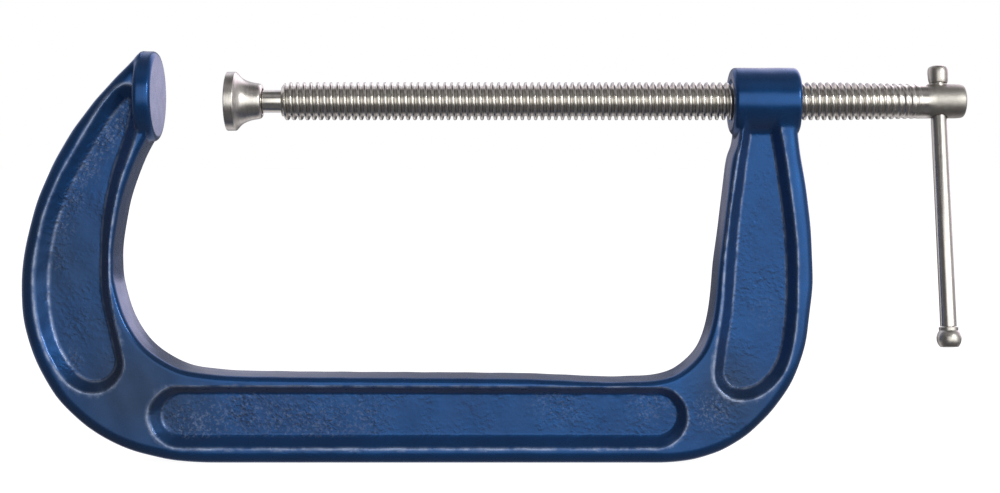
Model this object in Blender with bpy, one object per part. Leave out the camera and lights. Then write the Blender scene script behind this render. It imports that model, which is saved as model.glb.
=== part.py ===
"""C clamp: a one-piece forged frame, a feed screw with a swivel pad, and a sliding bar.

Metres, +Z up. The origin is the centre of the fixed jaw's face, on the screw's axis.
The screw runs along +X, away from the fixed jaw, and the frame's spine lies below it.
"""
import math

import bmesh
import bpy
from mathutils import Matrix, Vector
from mathutils.geometry import interpolate_bezier

MM = 0.001

# Feed screw and pad, distances along the screw's axis in millimetres
JAW_OPENING = 26.2          # fixed jaw face to pad face, as the clamp stands
PAD_LENGTH = 13.4
PAD_RADIUS = 11.15
TIP_BEHIND_FACE = 8.0       # centre of the screw's round tip, behind the pad's face
TIP_RADIUS = 4.2
SOCKET_RADIUS = 4.5
NECK_RADIUS = 4.25
THREAD_START = 47.0
THREAD_END = 289.6
THREAD_RADIUS = 7.15        # crests of the thread
HEAD_END = 304.8
HEAD_RADIUS = 6.5
RING_X = 37.0               # retaining ring, in the groove of the neck
RING_RADIUS = 4.4
RING_WIRE_RADIUS = 0.7
GROOVE_RADIUS = 3.45

# Sliding bar
BAR_X = 295.2
BAR_RADIUS = 2.95
BAR_HOLE_RADIUS = 3.25
BAR_LEAN = math.radians(9.0)   # how far the bar leans out of the frame's plane
BAR_HEAD_TOP = 13.5         # from the screw's axis, upwards along the bar
BAR_BALL_TOP = 85.1         # from the screw's axis, downwards along the bar
BAR_BALL_LENGTH = 7.4
BAR_BALL_RADIUS = 4.65

# Frame
CREST_HALF = 10.0           # half of the forging's thickness
FLOOR_HALF = 6.0            # half of the web between the two recessed faces
ROUND_START = 6.6           # the flanks are straight up to here, then rounded
ANVIL_CENTRE_Z = 1.8
ANVIL_RADIUS = 17.1
ANVIL_WIDTH_FACTOR = 0.93
ANVIL_THICKNESS = 6.8
BOSS_RADIUS = 12.7
BOSS_START = 216.6
BOSS_END = 241.9
BORE_RADIUS = 7.45

# Outer edge of the frame, from the fixed jaw round the spine to the boss:
# x, z, heading of the edge in degrees, draft slope, depth of the edge's rounding
OUTER_EDGE = [
    (-5.0, 18.6, 227, 0.02, 4.6),
    (-22.9, -0.6, 231, 0.02, 5.0),
    (-35.2, -18.3, 241, 0.02, 5.2),
    (-48.3, -54.4, 260, 0.02, 5.2),
    (-49.9, -70.1, 270, 0.02, 5.2),
    (-45.4, -94.9, 292, 0.02, 5.2),
    (-35.0, -113.0, 310, 0.02, 4.8),
    (-18.5, -126.5, 330, 0.02, 4.6),
    (3.2, -134.0, 349, 0.01, 4.5),
    (23.6, -135.6, 0, 0.0, 4.4),
    (187.6, -135.6, 0, 0.0, 4.4),
    (211.8, -131.2, 24, 0.01, 4.2),
    (226.9, -120.7, 45, 0.02, 3.8),
    (239.2, -104.2, 64, 0.02, 3.4),
    (244.6, -86.0, 82, 0.02, 3.2),
    (246.5, -66.0, 90, 0.02, 3.2),
    (244.6, -36.5, 98, 0.02, 3.2),
    (241.2, -14.0, 96, 0.02, 3.0),
    (240.2, -3.0, 94, 0.02, 3.0),
]

# Inner edge of the frame, from the boss round the throat to the fixed jaw
INNER_EDGE = [
    (219.0, -3.0, 270, 0.02, 1.2),
    (217.9, -15.5, 262, 0.02, 1.2),
    (216.1, -21.0, 256, 0.02, 1.2),
    (214.5, -32.0, 264, 0.02, 1.2),
    (211.0, -59.8, 263, 0.02, 1.2),
    (209.1, -78.3, 262, 0.02, 1.2),
    (205.2, -92.1, 243, 0.02, 1.2),
    (196.4, -101.3, 212, 0.02, 1.2),
    (177.6, -104.8, 182, 0.02, 1.2),
    (139.6, -103.7, 179, 0.02, 1.2),
    (36.9, -102.8, 179, 0.02, 1.2),
    (13.7, -100.9, 169, 0.02, 1.2),
    (2.4, -96.1, 147, 0.02, 1.2),
    (-7.0, -87.1, 124, 0.02, 1.2),
    (-14.1, -68.8, 102, 0.02, 1.2),
    (-14.8, -59.8, 92, 0.02, 1.2),
    (-12.6, -41.5, 79, 0.02, 1.2),
    (-6.9, -23.3, 67, 0.02, 1.2),
    (-2.4, -14.4, 60, 0.02, 1.2),
]

# Floors of the three recesses: x, z, heading in degrees, width of the sloping side
LIMB_RECESS = [
    (-10.8, 0.2, 226, 5.0),
    (-24.7, -20.7, 238, 4.6),
    (-37.4, -50.0, 258, 4.5),
    (-39.7, -67.3, 270, 4.5),
    (-33.9, -95.4, 300, 4.2),
    (-24.4, -104.8, 345, 4.0),
    (-14.6, -96.0, 102, 3.2),
    (-20.1, -67.3, 92, 3.6),
    (-14.4, -22.2, 71, 4.4),
    (-9.2, -4.0, 80, 4.8),
]
SPINE_RECESS = [
    (10.9, -109.4, 180, 2.6),
    (2.8, -117.4, 270, 4.4),
    (10.9, -125.5, 0, 3.9),
    (187.8, -125.5, 0, 3.9),
    (195.9, -117.6, 90, 3.0),
    (187.8, -109.7, 180, 2.6),
]
LEG_RECESS = [
    (224.2, -4.0, 264, 3.4),
    (218.1, -56.0, 266, 4.4),
    (215.7, -84.1, 262, 4.2),
    (213.1, -101.0, 265, 4.0),
    (219.1, -107.8, 0, 3.8),
    (229.4, -102.9, 48, 3.6),
    (235.9, -84.1, 84, 3.3),
    (236.7, -65.4, 90, 3.3),
    (233.6, -29.7, 98, 3.2),
    (229.2, -4.0, 101, 3.2),
]


def clear_scene():
    """Remove every object, mesh and material that is already there."""
    for old in list(bpy.data.objects):
        bpy.data.objects.remove(old, do_unlink=True)
    for old in list(bpy.data.meshes):
        bpy.data.meshes.remove(old)
    for old in list(bpy.data.materials):
        bpy.data.materials.remove(old)


def make_material(name, colour, roughness, metallic):
    """A Principled material with one colour."""
    material = bpy.data.materials.new(name)
    material.use_nodes = True
    shader = material.node_tree.nodes["Principled BSDF"]
    shader.inputs["Base Color"].default_value = (*colour, 1.0)
    shader.inputs["Roughness"].default_value = roughness
    shader.inputs["Metallic"].default_value = metallic
    return material


def add_object(name, mesh_data, material=None, parent=None):
    """Turn a bmesh into a named object of the scene."""
    bmesh.ops.recalc_face_normals(mesh_data, faces=mesh_data.faces)
    mesh = bpy.data.meshes.new(name)
    mesh_data.to_mesh(mesh)
    mesh_data.free()
    obj = bpy.data.objects.new(name, mesh)
    bpy.context.scene.collection.objects.link(obj)
    if material:
        mesh.materials.append(material)
    if parent:
        obj.parent = parent
    return obj


def add_pivot(name, location, parent=None, rotation=None):
    """An empty that stands on a joint's axis."""
    pivot = bpy.data.objects.new(name, None)
    pivot.empty_display_size = 0.01
    bpy.context.scene.collection.objects.link(pivot)
    if parent:
        pivot.parent = parent
    pivot.location = Vector(location) * MM
    if rotation:
        pivot.rotation_euler = rotation
    return pivot


def smooth(obj, angle=40.0):
    """Shade an object smooth, with the creases above the angle kept sharp."""
    obj.data.shade_smooth()
    obj.data.set_sharp_from_angle(angle=math.radians(angle))


def edge_points(knots, closed=False):
    """Sample a smooth edge through its knots, with the knots' other values blended.

    Each piece between two knots is a cubic whose handles fit a circular arc.
    Returns tuples of x, z, heading in radians and the blended values.
    """
    points = []
    count = len(knots) if closed else len(knots) - 1
    for i in range(count):
        here = knots[i]
        there = knots[(i + 1) % len(knots)]
        start = Vector((here[0], here[1]))
        end = Vector((there[0], there[1]))
        turn = (there[2] - here[2] + 180.0) % 360.0 - 180.0
        chord = (end - start).length
        handle = chord / (3.0 * math.cos(math.radians(turn) / 4.0) ** 2)
        angle_a = math.radians(here[2])
        angle_b = math.radians(there[2])
        handle_a = start + handle * Vector((math.cos(angle_a), math.sin(angle_a)))
        handle_b = end - handle * Vector((math.cos(angle_b), math.sin(angle_b)))
        steps = max(1, math.ceil(abs(turn) / 9.0), math.ceil(chord / 45.0))
        line = interpolate_bezier(start, handle_a, handle_b, end, steps + 1)
        for k in range(steps):
            t = k / steps
            ahead = line[k + 1] - line[k]
            behind = line[k] - line[k - 1] if k else Vector((math.cos(angle_a), math.sin(angle_a)))
            along = ahead.normalized() + behind.normalized()
            heading = angle_a if k == 0 else math.atan2(along.y, along.x)
            blended = [a + (b - a) * t for a, b in zip(here[3:], there[3:])]
            points.append((line[k].x, line[k].y, heading, *blended))
    if not closed:
        last = knots[-1]
        points.append((last[0], last[1], math.radians(last[2]), *last[3:]))
    return points


def add_loop(mesh_data, points, y, insets):
    """Add one closed loop of vertices at height y, moved inwards by each point's inset."""
    loop = []
    for (x, z, heading, *_), inset in zip(points, insets):
        px = x - math.sin(heading) * inset
        pz = z + math.cos(heading) * inset
        loop.append(mesh_data.verts.new((px * MM, y * MM, pz * MM)))
    return loop


def bridge(mesh_data, loops):
    """Join a row of loops with quads and close both ends."""
    for low, high in zip(loops, loops[1:]):
        for i in range(len(low)):
            j = (i + 1) % len(low)
            mesh_data.faces.new((low[i], low[j], high[j], high[i]))
    mesh_data.faces.new(loops[0])
    mesh_data.faces.new(loops[-1])


def frame_body():
    """The forging without its recesses: flat flanks that round over to both side faces."""
    points = edge_points(OUTER_EDGE) + edge_points(INNER_EDGE)
    mesh_data = bmesh.new()
    loops = []
    corner = CREST_HALF - ROUND_START
    rounding = [math.radians(a) for a in (90, 68, 46, 23, 0)]
    levels = [(-1, a) for a in rounding] + [(0, None)] + [(1, a) for a in reversed(rounding)]
    for side, angle in levels:
        if side == 0:
            loops.append(add_loop(mesh_data, points, 0.0, [0.0] * len(points)))
            continue
        height = ROUND_START + corner * math.sin(angle)
        insets = [p[3] * height + p[4] * (1.0 - math.cos(angle)) for p in points]
        loops.append(add_loop(mesh_data, points, side * height, insets))
    bridge(mesh_data, loops)
    return mesh_data


def recess_cutter(name, knots):
    """A pair of tapered plugs that sink one recess into both sides of the frame."""
    points = edge_points(knots, closed=True)
    mesh_data = bmesh.new()
    depth = CREST_HALF - FLOOR_HALF
    for side in (-1, 1):
        loops = []
        for height in (0.0, depth, depth + 2.5):
            widths = [-p[3] * height / depth for p in points]
            loops.append(add_loop(mesh_data, points, side * (FLOOR_HALF + height), widths))
        bridge(mesh_data, loops)
    return hide(add_object(name, mesh_data))


def lathe(profile, segments):
    """Turn a profile of x, radius pairs about the X axis into a closed solid."""
    mesh_data = bmesh.new()
    rings = []
    for x, radius in profile:
        if radius == 0.0:
            rings.append([mesh_data.verts.new((x * MM, 0.0, 0.0))])
            continue
        ring = []
        for i in range(segments):
            angle = 2.0 * math.pi * (i + 0.5) / segments
            y = radius * math.cos(angle) * MM
            z = radius * math.sin(angle) * MM
            ring.append(mesh_data.verts.new((x * MM, y, z)))
        rings.append(ring)
    for low, high in zip(rings, rings[1:]):
        for i in range(segments):
            j = (i + 1) % segments
            corners = [low[i % len(low)], low[j % len(low)], high[j % len(high)], high[i % len(high)]]
            mesh_data.faces.new(list(dict.fromkeys(corners)))
    return mesh_data


def arc(x, radius_at, size, start, stop, steps):
    """Points of x, radius on an arc of the given size about a centre, angles in degrees."""
    points = []
    for i in range(steps + 1):
        angle = math.radians(start + (stop - start) * i / steps)
        points.append((x + size * math.cos(angle), radius_at + size * math.sin(angle)))
    return points


def hide(obj):
    """Mark an object as a cutter, which is not part of the model."""
    obj.hide_render = True
    obj.display_type = "WIRE"
    return obj


def combine(obj, other, operation):
    """Add a Boolean modifier that cuts or joins another object."""
    modifier = obj.modifiers.new(other.name, "BOOLEAN")
    modifier.operation = operation
    modifier.solver = "EXACT"
    modifier.object = other


def make_frame(material):
    """The whole forging: body, recesses, fixed jaw, boss and bore."""
    frame = add_object("frame", frame_body(), material)
    combine(frame, recess_cutter("limb_recess_cutter", LIMB_RECESS), "DIFFERENCE")
    combine(frame, recess_cutter("spine_recess_cutter", SPINE_RECESS), "DIFFERENCE")
    combine(frame, recess_cutter("leg_recess_cutter", LEG_RECESS), "DIFFERENCE")

    edge = 1.3
    rim = arc(-edge, ANVIL_RADIUS - edge, edge, 0, 90, 4)
    back = arc(-ANVIL_THICKNESS + 1.4, ANVIL_RADIUS - 1.4, 1.4, 90, 180, 3)
    profile = [(0.0, 0.0), *rim, *back, (-ANVIL_THICKNESS, 0.0)]
    anvil = hide(add_object("anvil_shape", lathe(profile, 48)))
    anvil.data.transform(Matrix.Diagonal((1.0, ANVIL_WIDTH_FACTOR, 1.0, 1.0)))
    anvil.location.z = ANVIL_CENTRE_Z * MM
    combine(frame, anvil, "UNION")

    edge = 1.8
    start = arc(BOSS_START + edge, BOSS_RADIUS - edge, edge, 180, 90, 4)
    end = arc(BOSS_END - edge, BOSS_RADIUS - edge, edge, 90, 0, 4)
    profile = [(BOSS_START, 0.0), *start, *end, (BOSS_END, 0.0)]
    boss = hide(add_object("boss_shape", lathe(profile, 64)))
    combine(frame, boss, "UNION")

    wide = BORE_RADIUS + 0.8
    profile = [
        (BOSS_START - 2.0, 0.0),
        (BOSS_START - 2.0, wide),
        (BOSS_START, wide),
        (BOSS_START + 0.8, BORE_RADIUS),
        (BOSS_END - 0.8, BORE_RADIUS),
        (BOSS_END, wide),
        (BOSS_END + 2.0, wide),
        (BOSS_END + 2.0, 0.0),
    ]
    bore = hide(add_object("bore_cutter", lathe(profile, 48)))
    combine(frame, bore, "DIFFERENCE")
    smooth(frame, 35.0)
    return frame


def make_pad(material, pivot):
    """Swivel pad: a flared disc with a round socket that opens to the back."""
    face = -TIP_BEHIND_FACE
    back = face + PAD_LENGTH
    profile = [
        (face, 0.0),
        (face, PAD_RADIUS - 0.3),
        (face + 0.3, PAD_RADIUS),
        (face + 3.2, PAD_RADIUS),
        (face + 3.7, PAD_RADIUS - 0.4),
        (face + 4.7, 9.6),
        (face + 5.6, 8.75),
        (face + 6.9, 8.0),
        (face + 8.3, 7.5),
        (face + 10.0, 7.05),
        (face + 12.0, 6.7),
        (face + 12.9, 6.35),
        (back, 5.6),
        (back, 5.0),
        (back - 0.2, 4.8),
        (back - 1.2, 4.8),
        (back - 1.2, 5.5),
        (1.6, 5.5),
        (1.6, 4.6),
        (0.0, SOCKET_RADIUS),
    ]
    profile += arc(0.0, 0.0, SOCKET_RADIUS, 105, 165, 4)
    profile += [(-SOCKET_RADIUS, 0.0)]
    pad = add_object("swivel_pad", lathe(profile, 48), material, pivot)
    smooth(pad)
    return pad


def make_ring(material, pivot):
    """Retaining ring: an open turn of round wire with flat ends."""
    mesh_data = bmesh.new()
    sides = 8
    steps = 24
    gap = math.radians(40.0)
    loops = []
    for k in range(steps + 1):
        around = gap / 2.0 + (2.0 * math.pi - gap) * k / steps
        loop = []
        for i in range(sides):
            angle = 2.0 * math.pi * i / sides
            radius = RING_RADIUS + RING_WIRE_RADIUS * math.cos(angle)
            x = RING_WIRE_RADIUS * math.sin(angle)
            y = radius * math.sin(around)
            z = radius * math.cos(around)
            loop.append(mesh_data.verts.new((x * MM, y * MM, z * MM)))
        loops.append(loop)
    bridge(mesh_data, loops)
    ring = add_object("pad_snap_ring", mesh_data, material, pivot)
    smooth(ring, 60.0)
    return ring


def make_spindle(material, pivot):
    """Feed screw: round tip, grooved neck, threaded length and plain head with its cross hole."""
    tip = JAW_OPENING + TIP_BEHIND_FACE
    profile = [(tip - TIP_RADIUS, 0.0)]
    profile += [(tip + x, r) for x, r in arc(0.0, 0.0, TIP_RADIUS, 165, 90, 5)]
    profile += [
        (RING_X - 0.9, NECK_RADIUS),
        (RING_X - 0.9, GROOVE_RADIUS),
        (RING_X + 0.9, GROOVE_RADIUS),
        (RING_X + 0.9, NECK_RADIUS),
        (THREAD_START, NECK_RADIUS),
        (THREAD_START + 0.2, 5.6),
        (THREAD_START + 1.4, THREAD_RADIUS),
        (THREAD_END - 1.2, THREAD_RADIUS),
        (THREAD_END, HEAD_RADIUS),
        (HEAD_END - 1.1, HEAD_RADIUS),
        (HEAD_END - 0.3, HEAD_RADIUS - 0.4),
        (HEAD_END, HEAD_RADIUS - 1.0),
        (HEAD_END, 0.0),
    ]
    spindle = add_object("spindle", lathe(profile, 48), material, pivot)
    length = 4.0 * HEAD_RADIUS
    hole = [(-length / 2, 0.0), (-length / 2, BAR_HOLE_RADIUS)]
    hole += [(length / 2, BAR_HOLE_RADIUS), (length / 2, 0.0)]
    cutter = hide(add_object("cross_hole_cutter", lathe(hole, 32), parent=pivot))
    cutter.matrix_local = (
        Matrix.Translation((BAR_X * MM, 0.0, 0.0))
        @ Matrix.Rotation(-BAR_LEAN, 4, "X")
        @ Matrix.Rotation(math.pi / 2.0, 4, "Y")
    )
    combine(spindle, cutter, "DIFFERENCE")
    smooth(spindle)
    return spindle


def turn_down(mesh_data):
    """Stand a lathed solid on the Z axis, with the profile's +X end pointing down."""
    bmesh.ops.rotate(
        mesh_data,
        verts=mesh_data.verts,
        cent=(0.0, 0.0, 0.0),
        matrix=Matrix.Rotation(math.pi / 2.0, 3, "Y"),
    )
    return mesh_data


def make_bar(material, pivot):
    """Sliding bar with an upset head on top and a turned-down lower end."""
    top = -BAR_HEAD_TOP
    under = -HEAD_RADIUS - 0.3
    tenon = BAR_BALL_TOP - 0.3
    profile = [
        (top, 0.0),
        (top, 2.7),
        (top + 0.3, 3.35),
        (top + 1.0, 3.8),
        (top + 2.2, 3.9),
        (under - 1.6, 3.65),
        (under - 0.4, 3.45),
        (under, 3.2),
        (under, BAR_RADIUS),
        (tenon, BAR_RADIUS),
        (tenon, 2.1),
        (BAR_BALL_TOP + 5.0, 2.1),
        (BAR_BALL_TOP + 5.0, 0.0),
    ]
    bar = add_object("tommy_bar", turn_down(lathe(profile, 32)), material, pivot)
    smooth(bar)
    return bar


def make_ball_cap(material, pivot):
    """Ball that is pressed on the bar's lower end: a collar, a round body and a flat foot."""
    top = BAR_BALL_TOP
    foot = top + BAR_BALL_LENGTH
    middle = top + 4.15
    profile = [(top, 2.4), (top, 3.35), (top + 0.35, 3.6)]
    for angle in (128, 112, 96, 80, 64, 48):
        x = middle + BAR_BALL_RADIUS * math.cos(math.radians(angle))
        profile.append((x, BAR_BALL_RADIUS * math.sin(math.radians(angle))))
    profile += [(foot, 2.6), (foot, 0.0)]
    inner = [(top + 5.4, 0.0), (top + 5.4, 2.4), (top, 2.4)]
    ball = add_object("bar_ball_cap", turn_down(lathe(profile_ring(profile, inner), 32)), material, pivot)
    smooth(ball)
    return ball


def profile_ring(outside, inside):
    """Order a cup's outline from the axis at its foot, round the lip, to the socket's end."""
    return [*reversed(outside[1:]), outside[0], *reversed(inside[:-1])]


clear_scene()
enamel = make_material("blue_enamel", (0.018, 0.060, 0.190), 0.28, 0.0)
screw_steel = make_material("turned_steel", (0.56, 0.54, 0.51), 0.30, 1.0)
pad_steel = make_material("pad_steel", (0.60, 0.58, 0.55), 0.26, 1.0)
bar_steel = make_material("bar_steel", (0.62, 0.61, 0.59), 0.20, 1.0)
ring_steel = make_material("spring_steel", (0.30, 0.29, 0.28), 0.35, 1.0)
ball_steel = make_material("ball_steel", (0.58, 0.56, 0.53), 0.24, 1.0)

frame_object = make_frame(enamel)
feed_pivot = add_pivot("screw_axis", (0.0, 0.0, 0.0))
tip_pivot = add_pivot("pad_pivot", (JAW_OPENING + TIP_BEHIND_FACE, 0.0, 0.0), feed_pivot)
ring_pivot = add_pivot("ring_centre", (RING_X, 0.0, 0.0), feed_pivot)
bar_pivot = add_pivot("bar_axis", (BAR_X, 0.0, 0.0), feed_pivot, (-BAR_LEAN, 0.0, 0.0))
make_pad(pad_steel, tip_pivot)
make_ring(ring_steel, ring_pivot)
make_spindle(screw_steel, feed_pivot)
make_bar(bar_steel, bar_pivot)
make_ball_cap(ball_steel, bar_pivot)
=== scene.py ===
import math

import bmesh
import bpy
import numpy as np
from mathutils import Matrix, Vector


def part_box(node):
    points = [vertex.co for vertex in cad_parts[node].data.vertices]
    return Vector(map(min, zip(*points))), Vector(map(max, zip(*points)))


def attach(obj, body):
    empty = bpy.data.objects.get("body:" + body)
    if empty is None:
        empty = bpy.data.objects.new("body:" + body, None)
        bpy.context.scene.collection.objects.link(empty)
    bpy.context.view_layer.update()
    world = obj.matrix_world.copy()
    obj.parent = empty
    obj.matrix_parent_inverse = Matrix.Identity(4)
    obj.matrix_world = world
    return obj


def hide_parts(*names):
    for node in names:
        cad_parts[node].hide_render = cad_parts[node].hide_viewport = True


# C clamp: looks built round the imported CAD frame. Lengths in the tables and in the mesh
# code are millimetres in the row frame; meshes are scaled to metres when they are made.

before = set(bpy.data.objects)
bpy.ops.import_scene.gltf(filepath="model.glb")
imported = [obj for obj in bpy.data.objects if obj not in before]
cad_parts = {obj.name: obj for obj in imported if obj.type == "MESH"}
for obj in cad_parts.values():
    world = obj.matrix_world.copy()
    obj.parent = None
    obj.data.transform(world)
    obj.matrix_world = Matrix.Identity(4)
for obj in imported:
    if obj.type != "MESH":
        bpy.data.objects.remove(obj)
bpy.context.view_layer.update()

MM = 0.001

# ---------------------------------------------------------------- dimensions from the CAD

CREST_HALF = 10.0           # half of the forging's thickness
FLOOR_HALF = 6.0            # half of the web between the recesses
ROUND_START = 6.6           # the outer flanks are straight up to here
DRAFT = 0.02                # how much the flanks draw in for each millimetre of Y
INNER_ROUND = 2.4           # rounding of the edge round the throat
BOTTOM_Z = -135.6           # underside of the spine
ANVIL = dict(z=1.8, radius=17.1, width=0.93, thickness=6.8, edge=2.0)
BOSS = dict(radius=12.7, start=216.6, end=241.9, edge=1.8)
BORE_RADIUS = 7.45
BORE_CHAMFER = 0.8

# x, z, heading in degrees, depth of the edge's rounding
OUTER_EDGE = [
    (-5.0, 18.6, 227, 4.6),
    (-22.9, -0.6, 231, 5.0),
    (-35.2, -18.3, 241, 5.2),
    (-48.3, -54.4, 260, 5.2),
    (-49.9, -70.1, 270, 5.2),
    (-45.4, -94.9, 292, 5.2),
    (-35.0, -113.0, 310, 4.8),
    (-18.5, -126.5, 330, 4.6),
    (3.2, -134.0, 349, 4.5),
    (23.6, -135.6, 0, 4.4),
    (187.6, -135.6, 0, 4.4),
    (211.8, -131.2, 24, 4.2),
    (226.9, -120.7, 45, 3.8),
    (239.2, -104.2, 64, 4.2),
    (244.6, -86.0, 82, 5.0),
    (246.5, -66.0, 90, 5.6),
    (244.6, -36.5, 98, 5.6),
    (241.2, -14.0, 96, 4.6),
    (240.2, -3.0, 94, 4.0),
]
# x, z, heading in degrees
INNER_EDGE = [
    (219.0, -3.0, 270),
    (217.9, -15.5, 262),
    (216.1, -21.0, 256),
    (214.5, -32.0, 264),
    (211.0, -59.8, 263),
    (209.1, -78.3, 262),
    (205.2, -92.1, 243),
    (196.4, -101.3, 212),
    (177.6, -104.8, 182),
    (139.6, -103.7, 179),
    (36.9, -102.8, 179),
    (13.7, -100.9, 169),
    (2.4, -96.1, 147),
    (-7.0, -87.1, 124),
    (-14.1, -68.8, 102),
    (-14.8, -59.8, 92),
    (-12.6, -41.5, 79),
    (-6.9, -23.3, 67),
    (-2.4, -14.4, 60),
]
# Floors of the recesses: x, z, heading, width of the sloping side
RECESSES = [
    [
        (-10.8, 0.2, 226, 5.0),
        (-24.7, -20.7, 238, 4.6),
        (-37.4, -50.0, 258, 4.5),
        (-39.7, -67.3, 270, 4.5),
        (-33.9, -95.4, 300, 4.2),
        (-24.4, -104.8, 345, 4.0),
        (-14.6, -96.0, 102, 3.2),
        (-20.1, -67.3, 92, 3.6),
        (-14.4, -22.2, 71, 4.4),
        (-9.2, -4.0, 80, 4.8),
    ],
    [
        (10.9, -109.4, 180, 2.6),
        (2.8, -117.4, 270, 4.4),
        (10.9, -125.5, 0, 3.9),
        (187.8, -125.5, 0, 3.9),
        (195.9, -117.6, 90, 3.0),
        (187.8, -109.7, 180, 2.6),
    ],
    [
        (224.2, -4.0, 264, 3.4),
        (218.1, -56.0, 266, 4.4),
        (215.7, -84.1, 262, 4.2),
        (213.1, -101.0, 265, 4.0),
        (219.1, -107.8, 0, 3.8),
        (229.4, -102.9, 48, 3.6),
        (235.9, -84.1, 84, 3.3),
        (236.7, -65.4, 90, 3.3),
        (233.6, -29.7, 98, 3.2),
        (229.2, -4.0, 101, 3.2),
    ],
]

# Screw
PITCH = 2.54
CREST_RADIUS = 7.15
ROOT_RADIUS = 5.6
THREAD_START = 47.0
THREAD_END = 289.6
ENTRY_LENGTH = 1.3          # the first crest rises over this length
RUNOUT_START = 258.0        # the crests sink to the head's radius from here to the thread's end
RUNOUT_LENGTH = 31.0
ROOT_RISE_START = 266.0     # and the roots rise to it
ROOT_RISE_LENGTH = 22.0
CREST_AT = 49.55            # a crest's place on the screw at angle 0, which is +Y
HEAD_END = 304.8
HEAD_RADIUS = 6.5
TIP_X = 34.2
TIP_RADIUS = 4.2
NECK_RADIUS = 4.25
RING_X = 37.0
GROOVE_RADIUS = 3.45
GROOVE_HALF = 0.9           # half of the groove's width

# Pad and bar
PAD_FACE = 26.2
BAR_X = 295.2
BAR_LEAN = math.radians(9.0)
BAR_RADIUS = 2.95
BAR_HOLE_RADIUS = 3.25
KNOB_START = -6.75          # where the bar's upset head begins, measured down the bar
KNOB_OFFSET = 0.4           # the head sits a little to one side
BALL_TOP = 85.1
BALL_RADIUS = 4.45
TENON_RADIUS = 2.1          # the bar's lower end, inside the ball
TENON_LENGTH = 5.0

# ---------------------------------------------------------------- plane fields of the frame

CELL = 0.25                 # spacing of the plane fields
REACH = 7.0                 # distances are kept up to here
FIELD_LOW = np.array([-53.0, -139.0])
FIELD_SIZE = (1212, 652)
EDGE_STEP = 0.9             # spacing of the fine points along an edge
FAR = 3.0 * CREST_HALF      # stands for no slope nearby

# Unevenness of hand-finished edges and faces
EDGE_RIPPLE = 0.10
FACE_WAVE = 0.03
BOSS_WAVE = 0.02
WAVE_FADE = 2.0             # the faces turn flat over this height above the underside

# Blending between surfaces that meet
FLOOR_FILLET = 0.8
LAND_FILLET = 0.7
ANVIL_FILLET = 1.0
BOSS_FILLET = 2.2
BORE_REACH = 5.0            # how far past the boss the bore cuts

# Moving points onto the surface
SLOPE_REACH = 0.12
NORMAL_REACH = 0.15
LONGEST_MOVE = 0.5


def edge_line(knots, closed):
    """Fine points of x, z, value along the smooth edge through the knots."""
    points = []
    count = len(knots) if closed else len(knots) - 1
    for i in range(count):
        ax, az, heading_a, value_a = knots[i]
        bx, bz, heading_b, value_b = knots[(i + 1) % len(knots)]
        turn = (heading_b - heading_a + 180.0) % 360.0 - 180.0
        chord = math.hypot(bx - ax, bz - az)
        handle = chord / (3.0 * math.cos(math.radians(turn) / 4.0) ** 2)
        a, b = math.radians(heading_a), math.radians(heading_b)
        start, end = np.array((ax, az)), np.array((bx, bz))
        out = start + handle * np.array((math.cos(a), math.sin(a)))
        back = end - handle * np.array((math.cos(b), math.sin(b)))
        steps = max(2, math.ceil(chord / EDGE_STEP))
        for k in range(steps):
            t = k / steps
            s = 1.0 - t
            p = s**3 * start + 3 * s * s * t * out + 3 * s * t * t * back + t**3 * end
            points.append((p[0], p[1], value_a + (value_b - value_a) * t))
    if not closed:
        points.append((knots[-1][0], knots[-1][1], knots[-1][3]))
    return np.array(points)


def distance_plane(line, closed):
    """Distance to a line, and the line's own value at the nearest point, on the plane grid."""
    distance = np.full(FIELD_SIZE, REACH, np.float32)
    value = np.full(FIELD_SIZE, line[:, 2].mean(), np.float32)
    ends = np.roll(line, -1, axis=0) if closed else line[1:]
    for a, b in zip(line, ends):
        low = np.floor((np.minimum(a, b)[:2] - REACH - FIELD_LOW) / CELL).astype(int)
        high = np.ceil((np.maximum(a, b)[:2] + REACH - FIELD_LOW) / CELL).astype(int) + 1
        low, high = np.maximum(low, 0), np.minimum(high, FIELD_SIZE)
        x = FIELD_LOW[0] + CELL * np.arange(low[0], high[0])[:, None] - a[0]
        z = FIELD_LOW[1] + CELL * np.arange(low[1], high[1])[None, :] - a[1]
        run = b[:2] - a[:2]
        t = np.clip((x * run[0] + z * run[1]) / (run @ run), 0.0, 1.0)
        here = np.hypot(x - t * run[0], z - t * run[1])
        window = (slice(low[0], high[0]), slice(low[1], high[1]))
        nearer = here < distance[window]
        distance[window] = np.where(nearer, here, distance[window])
        value[window] = np.where(nearer, a[2] + (b[2] - a[2]) * t, value[window])
    return distance, value


def inside_plane(line):
    """True at the grid points that a closed line holds."""
    crossings = np.zeros((FIELD_SIZE[0] + 1, FIELD_SIZE[1]), np.int32)
    rows = FIELD_LOW[1] + CELL * np.arange(FIELD_SIZE[1])
    for a, b in zip(line, np.roll(line, -1, axis=0)):
        if a[1] == b[1]:
            continue
        hit = (rows >= min(a[1], b[1])) & (rows < max(a[1], b[1]))
        x = a[0] + (rows[hit] - a[1]) * (b[0] - a[0]) / (b[1] - a[1])
        column = np.ceil((x - FIELD_LOW[0]) / CELL).astype(int)
        np.add.at(crossings, (np.clip(column, 0, FIELD_SIZE[0]), np.flatnonzero(hit)), 1)
    return np.cumsum(crossings[:-1], axis=0) % 2 == 1


def soft_min(a, b, size):
    """The smaller of two values, blended over a distance of size."""
    share = np.maximum(size - np.abs(a - b), 0.0) / size
    return np.minimum(a, b) - share * share * size * 0.25


def soft_max(a, b, size):
    """The larger of two values, blended over a distance of size."""
    return -soft_min(-a, -b, size)


def rise(value, start, width):
    """0 up to start, 1 from start + width, and even between them."""
    return np.clip((value - start) / width, 0.0, 1.0)


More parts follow.
